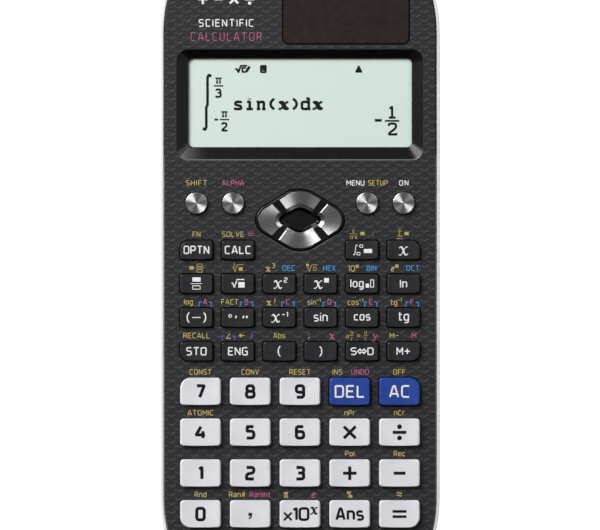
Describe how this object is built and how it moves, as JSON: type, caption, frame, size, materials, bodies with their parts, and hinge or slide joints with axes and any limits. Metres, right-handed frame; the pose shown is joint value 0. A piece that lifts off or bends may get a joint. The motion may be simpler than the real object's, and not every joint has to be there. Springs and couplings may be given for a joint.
{
  "type": "scientific calculator",
  "caption": "Pocket scientific calculator with a dot display, solar cell, rocking cursor pad and raised keys in a black and white case.",
  "frame": {"origin": "middle of the flat underside", "axes": "+Z out of the keyboard, +Y towards the display end, +X to the right of a reader"},
  "size_m": [0.077, 0.1654, 0.0111],
  "materials": {
    "white_casing": "fine moulded texture",
    "black_casing": "pressed pattern of small chevrons",
    "white_keys": "satin",
    "blue_keys": "satin",
    "charcoal_keys": "satin",
    "cursor_black": "gloss",
    "bright_metallised": "spun metal finish",
    "clear_window": "clear and polished",
    "display_glass": "reflective display",
    "solar_cell": "banded dark brown",
    "silicone": "satin",
    "circuit_laminate": "solder mask",
    "bright_steel": "polished",
    "screw_steel": "zinc plated",
    "white_acetal": "polished"
  },
  "bodies": {
    "case": {"rear_case": "white_casing", "front_case": "black_casing", "battery_cover": "white_casing", "display_window": "clear_window", "lcd_glass": "display_glass", "solar_panel": "solar_cell", "keypad_sheet": "silicone", "circuit_board": "circuit_laminate", "button_cell": "bright_steel", "battery_contacts": "bright_steel", "screws": "screw_steel"},
    "cursor_pivot": {"cursor_ball": "white_acetal"},
    "cursor_pad": {"cursor_rocker": "cursor_black", "cursor_plates": "bright_metallised"},
    "key_7": {"key_7": "white_keys"},
    "key_8": {"key_8": "white_keys"},
    "key_9": {"key_9": "white_keys"},
    "key_delete": {"key_delete": "blue_keys"},
    "key_all_clear": {"key_all_clear": "blue_keys"},
    "key_4": {"key_4": "white_keys"},
    "key_5": {"key_5": "white_keys"},
    "key_6": {"key_6": "white_keys"},
    "key_multiply": {"key_multiply": "white_keys"},
    "key_divide": {"key_divide": "white_keys"},
    "key_1": {"key_1": "white_keys"},
    "key_2": {"key_2": "white_keys"},
    "key_3": {"key_3": "white_keys"},
    "key_plus": {"key_plus": "white_keys"},
    "key_minus": {"key_minus": "white_keys"},
    "key_0": {"key_0": "white_keys"},
    "key_comma": {"key_comma": "white_keys"},
    "key_exponent": {"key_exponent": "white_keys"},
    "key_answer": {"key_answer": "white_keys"},
    "key_equals": {"key_equals": "white_keys"},
    "key_options": {"key_options": "charcoal_keys"},
    "key_calc": {"key_calc": "charcoal_keys"},
    "key_integral": {"key_integral": "charcoal_keys"},
    "key_variable": {"key_variable": "charcoal_keys"},
    "key_fraction": {"key_fraction": "charcoal_keys"},
    "key_root": {"key_root": "charcoal_keys"},
    "key_square": {"key_square": "charcoal_keys"},
    "key_power": {"key_power": "charcoal_keys"},
    "key_log_base": {"key_log_base": "charcoal_keys"},
    "key_ln": {"key_ln": "charcoal_keys"},
    "key_negative": {"key_negative": "charcoal_keys"},
    "key_degrees": {"key_degrees": "charcoal_keys"},
    "key_reciprocal": {"key_reciprocal": "charcoal_keys"},
    "key_sin": {"key_sin": "charcoal_keys"},
    "key_cos": {"key_cos": "charcoal_keys"},
    "key_tan": {"key_tan": "charcoal_keys"},
    "key_store": {"key_store": "charcoal_keys"},
    "key_eng": {"key_eng": "charcoal_keys"},
    "key_bracket_open": {"key_bracket_open": "charcoal_keys"},
    "key_bracket_close": {"key_bracket_close": "charcoal_keys"},
    "key_convert": {"key_convert": "charcoal_keys"},
    "key_memory": {"key_memory": "charcoal_keys"},
    "key_shift": {"key_shift": "bright_metallised"},
    "key_alpha": {"key_alpha": "bright_metallised"},
    "key_menu": {"key_menu": "bright_metallised"},
    "key_on": {"key_on": "bright_metallised"}
  },
  "joints": [
    {"name": "cursor_tilt_up_down", "type": "hinge", "parent": "case", "child": "cursor_pivot", "pos_m": [0, 0.0124, 0.0066], "axis": [1, 0, 0], "range_deg": [-4, 4], "stiffness_Nm_per_rad": 0.14, "deforming": ["keypad_sheet"]},
    {"name": "cursor_tilt_left_right", "type": "hinge", "parent": "cursor_pivot", "child": "cursor_pad", "pos_m": [0, 0.0124, 0.0066], "axis": [0, 1, 0], "range_deg": [-4, 4], "stiffness_Nm_per_rad": 0.14, "deforming": ["keypad_sheet"]},
    {"name": "key_shift_press", "type": "slide", "parent": "case", "child": "key_shift", "axis": [0, 0, -1], "range_m": [0, 0.0012], "stiffness_N_per_m": 400, "deforming": ["keypad_sheet"]},
    {"name": "key_alpha_press", "type": "slide", "parent": "case", "child": "key_alpha", "axis": [0, 0, -1], "range_m": [0, 0.0012], "stiffness_N_per_m": 400, "deforming": ["keypad_sheet"]},
    {"name": "key_menu_press", "type": "slide", "parent": "case", "child": "key_menu", "axis": [0, 0, -1], "range_m": [0, 0.0012], "stiffness_N_per_m": 400, "deforming": ["keypad_sheet"]},
    {"name": "key_on_press", "type": "slide", "parent": "case", "child": "key_on", "axis": [0, 0, -1], "range_m": [0, 0.0012], "stiffness_N_per_m": 400, "deforming": ["keypad_sheet"]},
    {"name": "key_options_press", "type": "slide", "parent": "case", "child": "key_options", "axis": [0, 0, -1], "range_m": [0, 0.0012], "stiffness_N_per_m": 400, "deforming": ["keypad_sheet"]},
    {"name": "key_calc_press", "type": "slide", "parent": "case", "child": "key_calc", "axis": [0, 0, -1], "range_m": [0, 0.0012], "stiffness_N_per_m": 400, "deforming": ["keypad_sheet"]},
    {"name": "key_integral_press", "type": "slide", "parent": "case", "child": "key_integral", "axis": [0, 0, -1], "range_m": [0, 0.0012], "stiffness_N_per_m": 400, "deforming": ["keypad_sheet"]},
    {"name": "key_variable_press", "type": "slide", "parent": "case", "child": "key_variable", "axis": [0, 0, -1], "range_m": [0, 0.0012], "stiffness_N_per_m": 400, "deforming": ["keypad_sheet"]},
    {"name": "key_fraction_press", "type": "slide", "parent": "case", "child": "key_fraction", "axis": [0, 0, -1], "range_m": [0, 0.0012], "stiffness_N_per_m": 400, "deforming": ["keypad_sheet"]},
    {"name": "key_root_press", "type": "slide", "parent": "case", "child": "key_root", "axis": [0, 0, -1], "range_m": [0, 0.0012], "stiffness_N_per_m": 400, "deforming": ["keypad_sheet"]},
    {"name": "key_square_press", "type": "slide", "parent": "case", "child": "key_square", "axis": [0, 0, -1], "range_m": [0, 0.0012], "stiffness_N_per_m": 400, "deforming": ["keypad_sheet"]},
    {"name": "key_power_press", "type": "slide", "parent": "case", "child": "key_power", "axis": [0, 0, -1], "range_m": [0, 0.0012], "stiffness_N_per_m": 400, "deforming": ["keypad_sheet"]},
    {"name": "key_log_base_press", "type": "slide", "parent": "case", "child": "key_log_base", "axis": [0, 0, -1], "range_m": [0, 0.0012], "stiffness_N_per_m": 400, "deforming": ["keypad_sheet"]},
    {"name": "key_ln_press", "type": "slide", "parent": "case", "child": "key_ln", "axis": [0, 0, -1], "range_m": [0, 0.0012], "stiffness_N_per_m": 400, "deforming": ["keypad_sheet"]},
    {"name": "key_negative_press", "type": "slide", "parent": "case", "child": "key_negative", "axis": [0, 0, -1], "range_m": [0, 0.0012], "stiffness_N_per_m": 400, "deforming": ["keypad_sheet"]},
    {"name": "key_degrees_press", "type": "slide", "parent": "case", "child": "key_degrees", "axis": [0, 0, -1], "range_m": [0, 0.0012], "stiffness_N_per_m": 400, "deforming": ["keypad_sheet"]},
    {"name": "key_reciprocal_press", "type": "slide", "parent": "case", "child": "key_reciprocal", "axis": [0, 0, -1], "range_m": [0, 0.0012], "stiffness_N_per_m": 400, "deforming": ["keypad_sheet"]},
    {"name": "key_sin_press", "type": "slide", "parent": "case", "child": "key_sin", "axis": [0, 0, -1], "range_m": [0, 0.0012], "stiffness_N_per_m": 400, "deforming": ["keypad_sheet"]},
    {"name": "key_cos_press", "type": "slide", "parent": "case", "child": "key_cos", "axis": [0, 0, -1], "range_m": [0, 0.0012], "stiffness_N_per_m": 400, "deforming": ["keypad_sheet"]},
    {"name": "key_tan_press", "type": "slide", "parent": "case", "child": "key_tan", "axis": [0, 0, -1], "range_m": [0, 0.0012], "stiffness_N_per_m": 400, "deforming": ["keypad_sheet"]},
    {"name": "key_store_press", "type": "slide", "parent": "case", "child": "key_store", "axis": [0, 0, -1], "range_m": [0, 0.0012], "stiffness_N_per_m": 400, "deforming": ["keypad_sheet"]},
    {"name": "key_eng_press", "type": "slide", "parent": "case", "child": "key_eng", "axis": [0, 0, -1], "range_m": [0, 0.0012], "stiffness_N_per_m": 400, "deforming": ["keypad_sheet"]},
    {"name": "key_bracket_open_press", "type": "slide", "parent": "case", "child": "key_bracket_open", "axis": [0, 0, -1], "range_m": [0, 0.0012], "stiffness_N_per_m": 400, "deforming": ["keypad_sheet"]},
    {"name": "key_bracket_close_press", "type": "slide", "parent": "case", "child": "key_bracket_close", "axis": [0, 0, -1], "range_m": [0, 0.0012], "stiffness_N_per_m": 400, "deforming": ["keypad_sheet"]},
    {"name": "key_convert_press", "type": "slide", "parent": "case", "child": "key_convert", "axis": [0, 0, -1], "range_m": [0, 0.0012], "stiffness_N_per_m": 400, "deforming": ["keypad_sheet"]},
    {"name": "key_memory_press", "type": "slide", "parent": "case", "child": "key_memory", "axis": [0, 0, -1], "range_m": [0, 0.0012], "stiffness_N_per_m": 400, "deforming": ["keypad_sheet"]},
    {"name": "key_7_press", "type": "slide", "parent": "case", "child": "key_7", "axis": [0, 0, -1], "range_m": [0, 0.0012], "stiffness_N_per_m": 400, "deforming": ["keypad_sheet"]},
    {"name": "key_8_press", "type": "slide", "parent": "case", "child": "key_8", "axis": [0, 0, -1], "range_m": [0, 0.0012], "stiffness_N_per_m": 400, "deforming": ["keypad_sheet"]},
    {"name": "key_9_press", "type": "slide", "parent": "case", "child": "key_9", "axis": [0, 0, -1], "range_m": [0, 0.0012], "stiffness_N_per_m": 400, "deforming": ["keypad_sheet"]},
    {"name": "key_delete_press", "type": "slide", "parent": "case", "child": "key_delete", "axis": [0, 0, -1], "range_m": [0, 0.0012], "stiffness_N_per_m": 400, "deforming": ["keypad_sheet"]},
    {"name": "key_all_clear_press", "type": "slide", "parent": "case", "child": "key_all_clear", "axis": [0, 0, -1], "range_m": [0, 0.0012], "stiffness_N_per_m": 400, "deforming": ["keypad_sheet"]},
    {"name": "key_4_press", "type": "slide", "parent": "case", "child": "key_4", "axis": [0, 0, -1], "range_m": [0, 0.0012], "stiffness_N_per_m": 400, "deforming": ["keypad_sheet"]},
    {"name": "key_5_press", "type": "slide", "parent": "case", "child": "key_5", "axis": [0, 0, -1], "range_m": [0, 0.0012], "stiffness_N_per_m": 400, "deforming": ["keypad_sheet"]},
    {"name": "key_6_press", "type": "slide", "parent": "case", "child": "key_6", "axis": [0, 0, -1], "range_m": [0, 0.0012], "stiffness_N_per_m": 400, "deforming": ["keypad_sheet"]},
    {"name": "key_multiply_press", "type": "slide", "parent": "case", "child": "key_multiply", "axis": [0, 0, -1], "range_m": [0, 0.0012], "stiffness_N_per_m": 400, "deforming": ["keypad_sheet"]},
    {"name": "key_divide_press", "type": "slide", "parent": "case", "child": "key_divide", "axis": [0, 0, -1], "range_m": [0, 0.0012], "stiffness_N_per_m": 400, "deforming": ["keypad_sheet"]},
    {"name": "key_1_press", "type": "slide", "parent": "case", "child": "key_1", "axis": [0, 0, -1], "range_m": [0, 0.0012], "stiffness_N_per_m": 400, "deforming": ["keypad_sheet"]},
    {"name": "key_2_press", "type": "slide", "parent": "case", "child": "key_2", "axis": [0, 0, -1], "range_m": [0, 0.0012], "stiffness_N_per_m": 400, "deforming": ["keypad_sheet"]},
    {"name": "key_3_press", "type": "slide", "parent": "case", "child": "key_3", "axis": [0, 0, -1], "range_m": [0, 0.0012], "stiffness_N_per_m": 400, "deforming": ["keypad_sheet"]},
    {"name": "key_plus_press", "type": "slide", "parent": "case", "child": "key_plus", "axis": [0, 0, -1], "range_m": [0, 0.0012], "stiffness_N_per_m": 400, "deforming": ["keypad_sheet"]},
    {"name": "key_minus_press", "type": "slide", "parent": "case", "child": "key_minus", "axis": [0, 0, -1], "range_m": [0, 0.0012], "stiffness_N_per_m": 400, "deforming": ["keypad_sheet"]},
    {"name": "key_0_press", "type": "slide", "parent": "case", "child": "key_0", "axis": [0, 0, -1], "range_m": [0, 0.0012], "stiffness_N_per_m": 400, "deforming": ["keypad_sheet"]},
    {"name": "key_comma_press", "type": "slide", "parent": "case", "child": "key_comma", "axis": [0, 0, -1], "range_m": [0, 0.0012], "stiffness_N_per_m": 400, "deforming": ["keypad_sheet"]},
    {"name": "key_exponent_press", "type": "slide", "parent": "case", "child": "key_exponent", "axis": [0, 0, -1], "range_m": [0, 0.0012], "stiffness_N_per_m": 400, "deforming": ["keypad_sheet"]},
    {"name": "key_answer_press", "type": "slide", "parent": "case", "child": "key_answer", "axis": [0, 0, -1], "range_m": [0, 0.0012], "stiffness_N_per_m": 400, "deforming": ["keypad_sheet"]},
    {"name": "key_equals_press", "type": "slide", "parent": "case", "child": "key_equals", "axis": [0, 0, -1], "range_m": [0, 0.0012], "stiffness_N_per_m": 400, "deforming": ["keypad_sheet"]}
  ]
}
